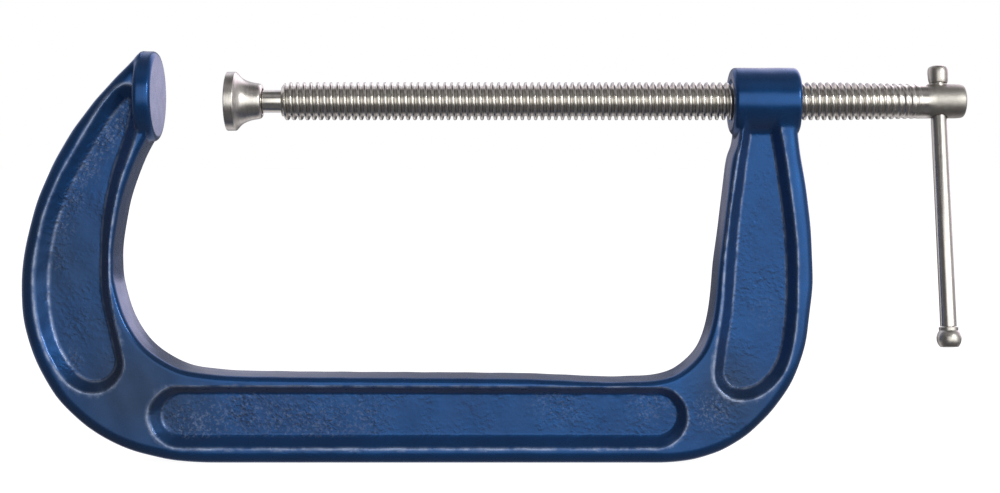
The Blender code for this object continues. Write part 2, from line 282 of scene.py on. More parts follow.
def fall(value, end, width):
    """1 up to end - width, 0 from end, and even between them."""
    return np.clip((end - value) / width, 0.0, 1.0)


def bell(value, centre, width):
    """1 at the centre, fading to both sides."""
    return np.exp(-(((value - centre) / width) ** 2))


def ripple(x, z):
    """Slow unevenness of hand-finished edges, from -1 to 1."""
    return (
        0.5 * np.sin(0.41 * x + 0.23 * z + 0.7)
        + 0.3 * np.sin(0.83 * x - 0.57 * z + 2.1)
        + 0.2 * np.sin(1.31 * z + 0.39 * x + 4.0)
    )


def frame_planes():
    """Five planes over X and Z.

    They are the inset from the outer edge, that edge's rounding, the inset from the inner
    edge, half of the thickness, and the unclipped slope of the nearest recess.
    """
    outer = edge_line(OUTER_EDGE, False)
    inner = edge_line([(*knot, 0.0) for knot in INNER_EDGE], False)
    solid = inside_plane(np.vstack([outer, inner])[:, :2])
    to_outer, rounding = distance_plane(outer, False)
    to_inner, _ = distance_plane(inner, False)
    outer_is_nearer = to_outer < to_inner
    to_outer = np.where(solid | ~outer_is_nearer, to_outer, -to_outer)
    to_inner = np.where(solid | outer_is_nearer, to_inner, -to_inner)
    x = FIELD_LOW[0] + CELL * np.arange(FIELD_SIZE[0])[:, None]
    z = FIELD_LOW[1] + CELL * np.arange(FIELD_SIZE[1])[None, :]
    height = np.full(FIELD_SIZE, CREST_HALF, np.float32)
    ramp = np.full(FIELD_SIZE, FAR, np.float32)
    depth = CREST_HALF - FLOOR_HALF
    for knots in RECESSES:
        line = edge_line(knots, True)
        away, slope = distance_plane(line, True)
        away = np.where(inside_plane(line[:, :2]), -away, away)
        away = away + EDGE_RIPPLE * ripple(x, z)
        wall = FLOOR_HALF + depth * away / slope
        ramp = np.minimum(ramp, wall)
        wall = soft_max(wall, np.float32(FLOOR_HALF), FLOOR_FILLET)
        height = np.minimum(height, soft_min(wall, np.float32(CREST_HALF), LAND_FILLET))
    return np.stack([to_outer, rounding, to_inner, height, ramp]).astype(np.float32)


PLANES = frame_planes()


def sample_planes(x, z):
    """The five planes at points, by blending the grid's neighbours."""
    u = np.clip((x - FIELD_LOW[0]) / CELL, 0, FIELD_SIZE[0] - 1.001)
    v = np.clip((z - FIELD_LOW[1]) / CELL, 0, FIELD_SIZE[1] - 1.001)
    i, j = u.astype(np.int32), v.astype(np.int32)
    s, t = (u - i).astype(np.float32), (v - j).astype(np.float32)
    low = PLANES[:, i, j] * (1 - t) + PLANES[:, i, j + 1] * t
    high = PLANES[:, i + 1, j] * (1 - t) + PLANES[:, i + 1, j + 1] * t
    return low * (1 - s) + high * s


def past_corner(a, b):
    """Distance past two planes that meet at right angles: below zero inside both."""
    return np.hypot(np.maximum(a, 0), np.maximum(b, 0)) + np.minimum(np.maximum(a, b), 0)


def rounded_corner(a, b, radius):
    """Distance past a corner that is rounded by radius, from the distances past its planes."""
    return past_corner(a + radius, b + radius) - radius


def face_wave(x, y, z):
    """Slow unevenness of the faces, from 0 to 4."""
    one = np.sin(0.52 * x + 0.35 * y + 0.21 * z)
    other = np.sin(0.27 * x - 0.31 * z + 0.4 * y + 1.7)
    return one + other + 2.0


def solid_value(x, y, z, planes=None):
    """Below zero inside the forging, above zero outside, in millimetres near the surface."""
    to_outer, rounding, to_inner, height, _ = sample_planes(x, z) if planes is None else planes
    y_size = np.abs(y)
    corner = CREST_HALF - ROUND_START
    u = 1.0 - (to_outer - DRAFT * y_size) / rounding
    v = (y_size - ROUND_START) / corner
    outer = past_corner(u, v) - 1.0
    inner = rounded_corner(DRAFT * y_size - to_inner, y_size - CREST_HALF, INNER_ROUND)
    body = np.maximum(np.maximum(corner * outer, inner), y_size - height)
    wave = face_wave(x, y, z)
    body = body + FACE_WAVE * wave * (1.0 - np.exp(-np.abs(z - BOTTOM_Z) / WAVE_FADE))

    rim = np.hypot(y / ANVIL["width"], z - ANVIL["z"]) - ANVIL["radius"]
    half = ANVIL["thickness"] / 2
    anvil = rounded_corner(rim, np.abs(x + half) - half, ANVIL["edge"])
    value = soft_min(body, anvil, ANVIL_FILLET)

    radius = np.hypot(y, z)
    middle = (BOSS["start"] + BOSS["end"]) / 2
    ends = np.abs(x - middle) - (BOSS["end"] - BOSS["start"]) / 2
    boss = rounded_corner(radius - BOSS["radius"], ends, BOSS["edge"]) + BOSS_WAVE * wave
    value = soft_min(value, boss, BOSS_FILLET)

    bore = BORE_RADIUS + np.clip(BORE_CHAMFER + ends, 0.0, BORE_CHAMFER + 1.0)
    bore = np.where(ends > BORE_REACH, 0.0, bore)
    return np.maximum(value, bore - radius)


def solid_slope(points, reach):
    """Direction in which the value grows at each point."""
    slope = np.empty_like(points)
    for axis in range(3):
        shift = np.zeros(3, np.float32)
        shift[axis] = reach
        slope[:, axis] = solid_value(*(points + shift).T) - solid_value(*(points - shift).T)
    return slope / (2.0 * reach)


def to_surface(points, rounds):
    """Move points onto the surface of the forging."""
    for _ in range(rounds):
        value = solid_value(*points.T)
        slope = solid_slope(points, SLOPE_REACH)
        size = np.maximum((slope * slope).sum(1), 0.05)
        step = np.clip(value / size, -LONGEST_MOVE, LONGEST_MOVE)
        points = points - slope * step[:, None]
    return points


def surface_net(values, low, step):
    """Quads round the zero surface of a grid of values."""
    inside = values < 0
    size = np.array(values.shape) - 1
    count = np.zeros(size, np.int8)
    for i, j, k in np.ndindex(2, 2, 2):
        count += inside[i : i + size[0], j : j + size[1], k : k + size[2]]
    mixed = (count > 0) & (count < 8)
    cells = np.argwhere(mixed)
    ids = np.full(size, -1, np.int32)
    ids[mixed] = np.arange(len(cells))
    total = np.zeros((len(cells), 3))
    hits = np.zeros(len(cells))
    for axis in range(3):
        for a, b in np.ndindex(2, 2):
            start = np.insert(np.array((a, b)), axis, 0)
            end = start.copy()
            end[axis] = 1
            va = values[tuple((cells + start).T)]
            vb = values[tuple((cells + end).T)]
            cross = (va < 0) != (vb < 0)
            t = va[cross] / (va[cross] - vb[cross])
            total[cross] += start + t[:, None] * (end - start)
            hits += cross
    points = low + step * (cells + total / hits[:, None])
    quads = []
    for axis in range(3):
        u, v = (axis + 1) % 3, (axis + 2) % 3
        one = [slice(None)] * 3
        two = [slice(None)] * 3
        one[axis], two[axis] = slice(None, -1), slice(1, None)
        change = inside[tuple(one)] != inside[tuple(two)]
        at = np.argwhere(change)
        at = at[(at[:, u] > 0) & (at[:, v] > 0) & (at[:, u] < size[u]) & (at[:, v] < size[v])]
        corners = []
        for du, dv in ((0, 0), (-1, 0), (-1, -1), (0, -1)):
            cell = at.copy()
            cell[:, u] += du
            cell[:, v] += dv
            corners.append(ids[tuple(cell.T)])
        quad = np.stack(corners, axis=1)
        flip = ~inside[tuple(at.T)]
        quad[flip] = quad[flip][:, ::-1]
        quads.append(quad)
    return points, np.vstack(quads)


# ---------------------------------------------------------------- mesh helpers

WELD_DISTANCE = 2e-6


def mesh_object(name, points, faces):
    """A mesh object from points in millimetres and faces of any size."""
    mesh = bpy.data.meshes.new(name)
    mesh.from_pydata((np.asarray(points) * MM).tolist(), [], [list(f) for f in faces])
    mesh.validate()
    obj = bpy.data.objects.new(name, mesh)
    bpy.context.scene.collection.objects.link(obj)
    return obj


def bake_modifiers(obj):
    """Replace an object's mesh by the result of its modifiers."""
    bpy.context.view_layer.update()
    graph = bpy.context.evaluated_depsgraph_get()
    old = obj.data
    obj.data = bpy.data.meshes.new_from_object(obj.evaluated_get(graph))
    obj.modifiers.clear()
    bpy.data.meshes.remove(old)


def weld(obj):
    """Merge points that lie together and drop what has no area."""
    mesh_data = bmesh.new()
    mesh_data.from_mesh(obj.data)
    bmesh.ops.remove_doubles(mesh_data, verts=mesh_data.verts, dist=WELD_DISTANCE)
    bmesh.ops.dissolve_degenerate(mesh_data, edges=mesh_data.edges, dist=WELD_DISTANCE)
    bmesh.ops.recalc_face_normals(mesh_data, faces=mesh_data.faces)
    mesh_data.to_mesh(obj.data)
    mesh_data.free()


def smooth(obj, degrees):
    """Smooth shading, with sharp edges where faces turn by more than the angle."""
    obj.data.shade_smooth()
    obj.data.set_sharp_from_angle(angle=math.radians(degrees))


def dress(obj, material, body, node):
    """Material, body and the CAD node that the piece stands for."""
    obj.data.materials.clear()
    obj.data.materials.append(material)
    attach(obj, body)
    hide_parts(node)


def set_attribute(obj, name, values):
    """Store one number for each vertex, for the materials to read."""
    attribute = obj.data.attributes.new(name, "FLOAT", "POINT")
    attribute.data.foreach_set("value", values.astype(np.float32))


def vertex_places(obj):
    """X, Y and Z of the vertices, in millimetres."""
    return np.array([vertex.co for vertex in obj.data.vertices]).T / MM


def rounded_profile(corners, steps=5):
    """Points of x, radius from corners of x, radius, rounding."""
    points = []
    for i, (x, r, size) in enumerate(corners):
        here = np.array((x, r), float)
        if size == 0 or i in (0, len(corners) - 1):
            points.append(tuple(here))
            continue
        before = np.array(corners[i - 1][:2]) - here
        after = np.array(corners[i + 1][:2]) - here
        reach_a = min(size, np.hypot(*before) * 0.48)
        reach_b = min(size, np.hypot(*after) * 0.48)
        a = here + before / np.hypot(*before) * reach_a
        b = here + after / np.hypot(*after) * reach_b
        for k in range(steps + 1):
            t = k / steps
            p = (1 - t) ** 2 * a + 2 * t * (1 - t) * here + t * t * b
            points.append(tuple(p))
    return points


def revolve(profile, segments):
    """Points and faces of a profile of x, radius turned about X. Radius 0 closes an end."""
    points, faces, rings = [], [], []
    for x, r in profile:
        first = len(points)
        if r <= 0.0:
            points.append((x, 0.0, 0.0))
            rings.append([first] * segments)
            continue
        for i in range(segments):
            angle = 2.0 * math.pi * i / segments
            points.append((x, r * math.cos(angle), r * math.sin(angle)))
        rings.append(list(range(first, first + segments)))
    for low, high in zip(rings, rings[1:]):
        for i in range(segments):
            j = (i + 1) % segments
            faces.append(list(dict.fromkeys((low[i], low[j], high[j], high[i]))))
    return points, faces


# ---------------------------------------------------------------- materials


def math_node(tree, kind, a, b=0.0):
    """Result of a math node; a and b are numbers or sockets."""
    node = tree.nodes.new("ShaderNodeMath")
    node.operation = kind
    for socket, value in zip(node.inputs, (a, b)):
        if isinstance(value, (int, float)):
            socket.default_value = value
        else:
            tree.links.new(value, socket)
    return node.outputs[0]


class Graph:
    """Short calls for building one material's nodes."""

    def __init__(self, name, **sockets):
        self.material = bpy.data.materials.new(name)
        self.material.use_nodes = True
        self.tree = self.material.node_tree
        self.nodes = self.tree.nodes
        self.links = self.tree.links
        self.shader = self.nodes["Principled BSDF"]
        for socket, value in sockets.items():
            self.shader.inputs[socket.replace("_", " ")].default_value = value
        self.place = self.nodes.new("ShaderNodeTexCoord").outputs["Object"]

    def link(self, source, node, socket):
        self.links.new(source, node.inputs[socket])

    def mapped(self, scale, turn=(0.0, 0.0, 0.0)):
        """Object coordinates, turned and then scaled apart along each axis."""
        node = self.nodes.new("ShaderNodeMapping")
        node.inputs["Rotation"].default_value = turn
        node.inputs["Scale"].default_value = scale
        self.link(self.place, node, "Vector")
        return node.outputs["Vector"]

    def noise(self, scale, detail=2.0, roughness=0.5, vector=None):
        node = self.nodes.new("ShaderNodeTexNoise")
        node.inputs["Scale"].default_value = scale
        node.inputs["Detail"].default_value = detail
        node.inputs["Roughness"].default_value = roughness
        self.link(vector or self.place, node, "Vector")
        return node.outputs["Fac"]

    def math(self, kind, a, b):
        return math_node(self.tree, kind, a, b)

    def spread(self, value, low, high, new_low, new_high):
        """Map low..high onto new_low..new_high."""
        node = self.nodes.new("ShaderNodeMapRange")
        numbers = (low, high, new_low, new_high)
        for socket, number in zip(("From Min", "From Max", "To Min", "To Max"), numbers):
            node.inputs[socket].default_value = number
        self.link(value, node, "Value")
        return node.outputs["Result"]

    def colours(self, value, *stops):
        """Colour by value, from stops of position and colour."""
        node = self.nodes.new("ShaderNodeValToRGB")
        ramp = node.color_ramp
        for (position, colour), element in zip(stops, ramp.elements):
            element.position = position
            element.color = (*colour, 1.0)
        for position, colour in stops[2:]:
            ramp.elements.new(position).color = (*colour, 1.0)
        self.link(value, node, "Fac")
        return node.outputs["Color"]

    def mixed(self, share, colour, other):
        """A colour turned towards another by a share."""
        node = self.nodes.new("ShaderNodeMix")
        node.data_type = "RGBA"
        self.links.new(share, node.inputs[0])
        self.links.new(colour, node.inputs[6])
        node.inputs[7].default_value = (*other, 1.0)
        return node.outputs[2]

    def attribute(self, name):
        node = self.nodes.new("ShaderNodeAttribute")
        node.attribute_name = name
        return node.outputs["Fac"]

    def bump(self, height, distance):
        node = self.nodes.new("ShaderNodeBump")
        node.inputs["Strength"].default_value = 1.0
        node.inputs["Distance"].default_value = distance
        self.link(height, node, "Height")
        self.link(node.outputs["Normal"], self.shader, "Normal")


DEEP_BLUE = (0.0030, 0.050, 0.176)
BRIGHT_BLUE = (0.0045, 0.066, 0.222)
# Painted shade: darker, greyer blue for the corners and the limb
PAINTED_SHADE_BLUE = (0.010, 0.036, 0.095)
# Lighter blue and its share on the rims: partly real edge wear, partly painted highlight lines.
# The painted glints on the pebbles use the same blue.
WORN_AND_HIGHLIGHT_BLUE = (0.30, 0.36, 0.50)
WEAR_AND_HIGHLIGHT_SHARE = 0.8
PEBBLE_DEPTH = 0.00023
ORANGE_PEEL = 0.10          # as a share of the pebbles' depth
PEBBLED_ROUGHNESS = 0.14    # added where the enamel is pebbled
# Darker steel of the dulled head and knob; in the screw's thread roots it is painted shade
DULL_AND_SHADED_STEEL = (0.27, 0.255, 0.225)
DULL_AND_SHADED_STEEL_SHARE = 0.65
BRUSHED_ROUGHNESS = 0.28    # added where the steel is dulled, and in the screw's thread roots
HAMMERED_HEIGHT = 11.0      # against a tool mark of 1


def enamel_material():
    """Thick blue enamel with a little orange peel.

    The mesh's attributes say where it is pebbled, where its edges are worn and carry painted
    highlight lines, and where painted shade darkens it.
    """
    graph = Graph(
        "blue_enamel",
        Metallic=0.6,
        Specular_IOR_Level=0.15,
        Specular_Tint=(0.75, 0.80, 0.90, 1.0),
        Coat_Weight=0.26,
        Coat_Roughness=0.06,
        Coat_IOR=1.5,
        Sheen_Weight=0.12,
        Sheen_Roughness=0.6,
    )
    mask = graph.attribute("rough_cast")
    tone = graph.noise(55.0, 3.0, 0.55)
    colour = graph.colours(tone, (0.3, DEEP_BLUE), (0.7, BRIGHT_BLUE))
    # Painted shade near the corners and on the limb
    colour = graph.mixed(graph.attribute("painted_shade"), colour, PAINTED_SHADE_BLUE)
    # Rims: partly real edge wear, partly painted highlight lines, broken up by noise
    breaks = graph.spread(graph.noise(220.0, 3.0, 0.6), 0.36, 0.60, 0.25, 1.0)
    wear_and_highlight = graph.math("MULTIPLY", graph.attribute("rim"), breaks)
    wear_and_highlight = graph.math("MULTIPLY", wear_and_highlight, WEAR_AND_HIGHLIGHT_SHARE)
    # Painted glints: light specks on the pebbled enamel
    painted_glints = graph.spread(graph.noise(900.0, 2.0, 0.65), 0.50, 0.68, 0.0, 0.40)
    painted_glints = graph.math("MULTIPLY", painted_glints, graph.spread(mask, 0.65, 1.25, 0.0, 1.0))
    colour = graph.mixed(graph.math("MAXIMUM", wear_and_highlight, painted_glints), colour, WORN_AND_HIGHLIGHT_BLUE)
    graph.link(colour, graph.shader, "Base Color")
    patches = graph.spread(graph.noise(95.0, 2.0), 0.38, 0.62, 0.2, 1.0)
    pebbles = graph.spread(graph.noise(680.0, 1.5, 0.5), 0.46, 0.72, 0.0, 0.8)
    dents = graph.spread(graph.noise(330.0, 1.0, 0.5), 0.40, 0.66, 0.0, 0.7)
    pebbles = graph.math("MULTIPLY", graph.math("ADD", pebbles, dents), patches)
    pebbles = graph.math("MULTIPLY", pebbles, mask)
    peel = graph.math("MULTIPLY", graph.noise(330.0, 2.0), ORANGE_PEEL)
    graph.bump(graph.math("ADD", pebbles, peel), PEBBLE_DEPTH)
    gloss = graph.spread(graph.noise(210.0, 3.0), 0.3, 0.7, 0.23, 0.31)
    dull = graph.math("MULTIPLY", mask, PEBBLED_ROUGHNESS)
    graph.link(graph.math("ADD", gloss, dull), graph.shader, "Roughness")
    return graph.material


def steel_material(name, low, high, rough, ring_scale, streak_scale, depth, turn=(0.0, 0.0, 0.0)):
    """Bright steel with tool marks.

    The scales are per metre along X, Y and Z. A mesh attribute dulls and hammers the steel;
    on the screw's thread roots it is painted shade.
    """
    graph = Graph(name, Metallic=1.0)
    marks = graph.noise(1.0, 2.0, 0.6, graph.mapped(ring_scale, turn))
    streaks = graph.noise(1.0, 3.0, 0.6, graph.mapped(streak_scale, turn))
    colour = graph.colours(streaks, (0.3, low), (0.7, high))
    # Dulled, hammered steel, and painted shade in the screw's thread roots
    dull_and_root_shade = graph.attribute("dull_and_root_shade")
    wear_and_painted_light = graph.math("MULTIPLY", dull_and_root_shade, DULL_AND_SHADED_STEEL_SHARE)
    colour = graph.mixed(wear_and_painted_light, colour, DULL_AND_SHADED_STEEL)
    graph.link(colour, graph.shader, "Base Color")
    gloss = graph.spread(marks, 0.3, 0.7, *rough)
    dull = graph.math("MULTIPLY", dull_and_root_shade, BRUSHED_ROUGHNESS)
    graph.link(graph.math("ADD", gloss, dull), graph.shader, "Roughness")
    marks = graph.math("ADD", marks, graph.math("MULTIPLY", streaks, 0.5))
    blows = graph.math("MULTIPLY", dull_and_root_shade, HAMMERED_HEIGHT)
    hammered = graph.math("MULTIPLY", graph.noise(700.0, 2.0), blows)
    graph.bump(graph.math("ADD", marks, hammered), depth)
    return graph.material


ENAMEL = enamel_material()
SCREW_STEEL = steel_material(
    "turned_steel",
    (0.65, 0.625, 0.575),
    (0.78, 0.755, 0.705),
    (0.15, 0.25),
    (5200.0, 90.0, 90.0),
    (420.0, 420.0, 420.0),
    0.000006,
)
PAD_STEEL = steel_material(
    "pad_steel",
    (0.56, 0.535, 0.49),
    (0.70, 0.675, 0.63),
    (0.26, 0.38),
    (4200.0, 120.0, 120.0),
    (900.0, 300.0, 300.0),
    0.000012,
)
BAR_STEEL = steel_material(
    "bar_steel",
    (0.60, 0.575, 0.53),
    (0.70, 0.675, 0.63),
    (0.18, 0.26),
    (2600.0, 2600.0, 60.0),
    (700.0, 700.0, 120.0),
    0.000004,
    (BAR_LEAN, 0.0, 0.0),
)
BALL_STEEL = steel_material(
    "ball_steel",
    (0.50, 0.48, 0.44),
    (0.62, 0.60, 0.55),
    (0.30, 0.42),
    (900.0, 900.0, 1800.0),
    (500.0, 500.0, 500.0),
    0.00001,
    (BAR_LEAN, 0.0, 0.0),
)
RING_STEEL = steel_material(
    "spring_steel",
    (0.22, 0.21, 0.20),
    (0.34, 0.33, 0.31),
    (0.28, 0.40),
    (1200.0, 1200.0, 1200.0),
    (600.0, 600.0, 600.0),
    0.000006,
)

# ---------------------------------------------------------------- frame

GRID_STEP = 0.55
FRAME_FACES = 188_000
GRID_LOW = (-52.0, -17.3, -137.5)
GRID_HIGH = (249.0, 17.3, 21.0)

# Pebbled patches: x, z, size, strength
ROUGH_PATCHES = [
    (208.0, -115.5, 13.0, 1.1),
    (-8.5, -4.0, 6.0, 0.8),
    (-14.0, -9.5, 6.5, 0.7),
    (-20.0, -17.0, 6.5, 0.7),
    (-26.0, -26.0, 6.5, 0.7),
    (-31.0, -36.0, 6.5, 0.6),
    (-34.5, -47.0, 6.5, 0.5),
    (-37.0, -60.0, 6.0, 0.4),
    (-31.0, -97.0, 7.0, 0.4),
    (14.0, -122.0, 13.0, 0.6),
    (34.0, -116.0, 15.0, 0.45),
    (56.0, -122.0, 15.0, 0.45),
    (78.0, -117.0, 15.0, 0.4),
    (150.0, -112.0, 16.0, 0.35),
    (185.0, -114.0, 12.0, 0.4),
    (229.0, -80.0, 12.0, 0.25),
]
# Painted shade: darker, greyer enamel near the corners and on the limb: x, z, size, strength
PAINTED_SHADE_PATCHES = [
    (-34.0, -62.0, 26.0, 0.6),
    (-8.0, -108.0, 30.0, 0.95),
    (212.0, -104.0, 14.0, 0.7),
    (226.0, -120.0, 20.0, 0.6),
]


def frame_grid():
    """Values of the forging on a grid, slice by slice along Y."""
    low = np.array(GRID_LOW)
    count = np.ceil((np.array(GRID_HIGH) - low) / GRID_STEP).astype(int) + 1
    x = (low[0] + GRID_STEP * np.arange(count[0]))[:, None].astype(np.float32)
    z = (low[2] + GRID_STEP * np.arange(count[2]))[None, :].astype(np.float32)
    x, z = np.broadcast_arrays(x, z)
    planes = sample_planes(x, z)
    values = np.empty(count, np.float32)
    for j in range(count[1]):
        y = np.float32(low[1] + GRID_STEP * j)
        values[:, j, :] = solid_value(x, y, z, planes)
    return values, low


def make_frame():
    """The forging as one closed mesh, thinned and then moved back onto its surface."""
    values, low = frame_grid()
    points, quads = surface_net(values, low, GRID_STEP)
    points = to_surface(points.astype(np.float32), rounds=4)
    obj = mesh_object("clamp_frame", points, quads)
    thin = obj.modifiers.new("thin", "DECIMATE")
    thin.ratio = min(1.0, FRAME_FACES / (2.0 * len(quads)))
    bake_modifiers(obj)
    mesh = obj.data
    points = np.empty(len(mesh.vertices) * 3, np.float32)
    mesh.vertices.foreach_get("co", points)
    points = to_surface(points.reshape(-1, 3) / MM, rounds=3)
    box_low, box_high = (np.array(corner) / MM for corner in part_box("frame"))
    points = np.clip(points, box_low, box_high)
    mesh.vertices.foreach_set("co", (points * MM).astype(np.float32).ravel())
    mesh.update()
    mesh.shade_smooth()
    normals = solid_slope(points, NORMAL_REACH)
    normals /= np.maximum(np.linalg.norm(normals, axis=1), 1e-6)[:, None]
    mesh.normals_split_custom_set_from_vertices(normals.tolist())
    # Pebbling; edge wear with painted highlight lines; painted shade
    for name, values in zip(("rough_cast", "rim", "painted_shade"), surface_masks(points)):
        set_attribute(obj, name, values)
    dress(obj, ENAMEL, "frame", "frame")


LEG_START = 200.0           # the leg and the boss lie past this X
UPPER_RIM = 10.4            # slope value on the edge at a recess's top
LOWER_RIM = 6.1             # and on the edge of its floor

# Each pair: where the effect ends or starts, and the length over which it fades
FACE_REACH = (0.8, 0.4)     # pebbles, by distance from the faces
WORN_AND_HIGHLIGHT_REACH = (0.9, 0.4)     # worn edges and painted highlight lines, by the same distance
BOSS_FACE = (9.0, 2.0)      # the boss is pebbled past this Y
FLOOR_REACH = (8.2, 1.8)    # recess floors are pebbled up to this half thickness
LIMB_FOOT = (8.0, 10.0)     # painted highlight lines run along the floor's edge left of this X
LEG_FOOT = (208.0, 10.0)    # and right of this one


def patches_at(patches, x, z):
    """Sum of round soft-edged patches, each given as x, z, size and strength."""
    total = np.zeros_like(x)
    for patch_x, patch_z, size, strength in patches:
        away = np.hypot(x - patch_x, z - patch_z) / size
        total = total + strength * np.clip(1.25 - away, 0.0, 1.0)
    return total


def surface_masks(points):
    """Share of pebbling, of worn edge and painted highlight line, and of painted shade at each
    point.
    """
    x, y, z = points.T
    _, _, _, height, ramp = sample_planes(x, z)
    near_boss = (x > LEG_START) & (np.hypot(y, z) < BOSS["radius"] + 1.5)
    height, ramp = np.where(near_boss, CREST_HALF, height), np.where(near_boss, FAR, ramp)
    on_face = fall(np.abs(np.abs(y) - height), *FACE_REACH)
    on_face = np.maximum(on_face, near_boss * rise(np.abs(y), *BOSS_FACE))
    rough = 0.5 * fall(height, *FLOOR_REACH) + patches_at(ROUGH_PATCHES, x, z)
    foot = 0.7 * np.maximum(fall(x, *LIMB_FOOT), rise(x, *LEG_FOOT))
    # Wear on the crest edges, and painted highlight lines on the crest and floor edges
    rim = bell(ramp, UPPER_RIM, 0.5) + foot * bell(ramp, LOWER_RIM, 0.40)
    wear_and_painted_light = fall(np.abs(np.abs(y) - np.minimum(height, 9.9)), *WORN_AND_HIGHLIGHT_REACH)
    # Painted shade near the corners and on the limb
    painted_shade = np.minimum(patches_at(PAINTED_SHADE_PATCHES, x, z), 1.0)
    return on_face * np.minimum(rough, 1.3), wear_and_painted_light * np.minimum(rim, 1.0), painted_shade


# ---------------------------------------------------------------- screw

TURN_STEPS = 48
FINE_SEGMENTS = 64
PAD_SEGMENTS = 96
SCREW_SHARP = 52.0          # edges that turn by more degrees than this stay sharp
TURNED_SHARP = 38.0
# Share of painted shade in the thread's roots
ROOT_SHADE = 0.4
KNOB_BRUSHED = 0.5

# Distance from the crest's centre, and how far up from root to crest
TOOTH = [
    (-1.27, 0.0),
    (-0.92, 0.02),
    (-0.78, 0.12),
    (-0.56, 0.78),
    (-0.44, 0.94),
    (-0.26, 1.0),
    (0.26, 1.0),
    (0.44, 0.94),
    (0.56, 0.78),
    (0.78, 0.12),
    (0.92, 0.02),
]


def thread_grid():
    """Points and faces of the thread, clamped to plain rings at both ends."""
    start_turn = math.floor((THREAD_START - CREST_AT) / PITCH) - 1
    turns = math.ceil((THREAD_END - THREAD_START) / PITCH) + 4
    steps = turns * TURN_STEPS
    n = np.arange(steps + 1)[:, None]
    offset = np.array([t[0] for t in TOOTH])[None, :]
    height = np.array([t[1] for t in TOOTH])[None, :]
    x = CREST_AT + PITCH * (start_turn + n / TURN_STEPS) + offset
    filled = rise(x, ROOT_RISE_START, ROOT_RISE_LENGTH) ** 1.3
    root = ROOT_RADIUS + (HEAD_RADIUS - ROOT_RADIUS) * filled
    crest = CREST_RADIUS - (CREST_RADIUS - HEAD_RADIUS) * rise(x, RUNOUT_START, RUNOUT_LENGTH)
    radius = root + (crest - root) * height
    entry = ROOT_RADIUS + rise(x, THREAD_START, ENTRY_LENGTH) * (CREST_RADIUS - ROOT_RADIUS)
    radius = np.minimum(radius, entry)
    x = np.clip(x, THREAD_START, THREAD_END)
    radius = np.where(x >= THREAD_END, HEAD_RADIUS, radius)
    radius = np.where(x <= THREAD_START, ROOT_RADIUS, radius)
    angle = 2.0 * math.pi * n / TURN_STEPS
    points = np.stack([x, radius * np.cos(angle), radius * np.sin(angle)], axis=2)
    width = len(TOOTH)
    rows, columns = np.meshgrid(np.arange(steps), np.arange(width), indexing="ij")
    here = rows * width + columns
    ahead = (rows + 1) * width + columns
    wrap = columns == width - 1
    here_up = np.where(wrap, (rows + TURN_STEPS) * width, here + 1)
    ahead_up = np.where(wrap, (rows + 1 + TURN_STEPS) * width, ahead + 1)
    keep = ahead_up < (steps + 1) * width
    faces = np.stack([here, ahead, ahead_up, here_up], axis=2)[keep]
    return points.reshape(-1, 3), faces


def arc(centre, radius, angles):
    """Points of x, radius on a circle round the axis; angle 0 is at +X, in degrees."""
    return [
        (centre + radius * math.cos(math.radians(a)), radius * math.sin(math.radians(a)))
        for a in angles
    ]


def stand_on_bar(obj):
    """Turn a piece that was made along X so that +X points down the leaning bar."""
    turn = Matrix.Rotation(-BAR_LEAN, 4, "X") @ Matrix.Rotation(math.pi / 2, 4, "Y")
    obj.data.transform(Matrix.Translation((BAR_X * MM, 0, 0)) @ turn)


def make_screw():
    """Feed screw: round tip, neck with the ring's groove, thread, head with the bar's hole."""
    points, faces = thread_grid()
    front = [(TIP_X - TIP_RADIUS, 0.0), *arc(TIP_X, TIP_RADIUS, range(170, 89, -10))]
    front += rounded_profile([
        (RING_X - 1.6, NECK_RADIUS, 0),
        (RING_X - GROOVE_HALF, NECK_RADIUS, 0.15),
        (RING_X - GROOVE_HALF, GROOVE_RADIUS, 0.1),
        (RING_X + GROOVE_HALF, GROOVE_RADIUS, 0.1),
        (RING_X + GROOVE_HALF, NECK_RADIUS, 0.15),
        (THREAD_START - 0.5, NECK_RADIUS, 0),
        (THREAD_START, NECK_RADIUS, 0),
        (THREAD_START, ROOT_RADIUS, 0),
    ], 2)
    back = rounded_profile([
        (THREAD_END, HEAD_RADIUS, 0),
        (THREAD_END + 4.0, HEAD_RADIUS - 0.02, 0),
        (HEAD_END - 3.0, HEAD_RADIUS - 0.02, 1.0),
        (HEAD_END - 0.35, HEAD_RADIUS - 0.30, 0.9),
        (HEAD_END, HEAD_RADIUS - 1.9, 0.8),
        (HEAD_END, 0.0, 0),
    ], 4)
    for profile in (front, back):
        more, more_faces = revolve(profile, TURN_STEPS)
        faces = [*faces, *[[i + len(points) for i in face] for face in more_faces]]
        points = np.vstack([points, more])
    obj = mesh_object("feed_screw", points, faces)
    weld(obj)
    reach = 2.0 * HEAD_RADIUS
    rod = [(-reach, 0.0), (-reach, BAR_HOLE_RADIUS), (reach, BAR_HOLE_RADIUS), (reach, 0.0)]
    hole = mesh_object("hole_cutter", *revolve(rod, FINE_SEGMENTS))
    stand_on_bar(hole)
    weld(hole)
    cut = obj.modifiers.new("hole", "BOOLEAN")
    cut.operation, cut.solver, cut.object = "DIFFERENCE", "EXACT", hole
    bake_modifiers(obj)
    bpy.data.objects.remove(hole)
    smooth(obj, SCREW_SHARP)
    x, y, z = vertex_places(obj)
    # Painted shade darkens the thread's roots; the head past the thread is dull and hammered
    root = fall(np.hypot(y, z), CREST_RADIUS, CREST_RADIUS - ROOT_RADIUS)
    threaded = (x > THREAD_START) & (x < THREAD_END - 3.0)
    dull_and_root_shade = np.maximum(ROOT_SHADE * root * threaded, rise(x, THREAD_END, 1.0))
    set_attribute(obj, "dull_and_root_shade", dull_and_root_shade)
    dress(obj, SCREW_STEEL, "screw", "spindle")


# ---------------------------------------------------------------- pad, bar, ball


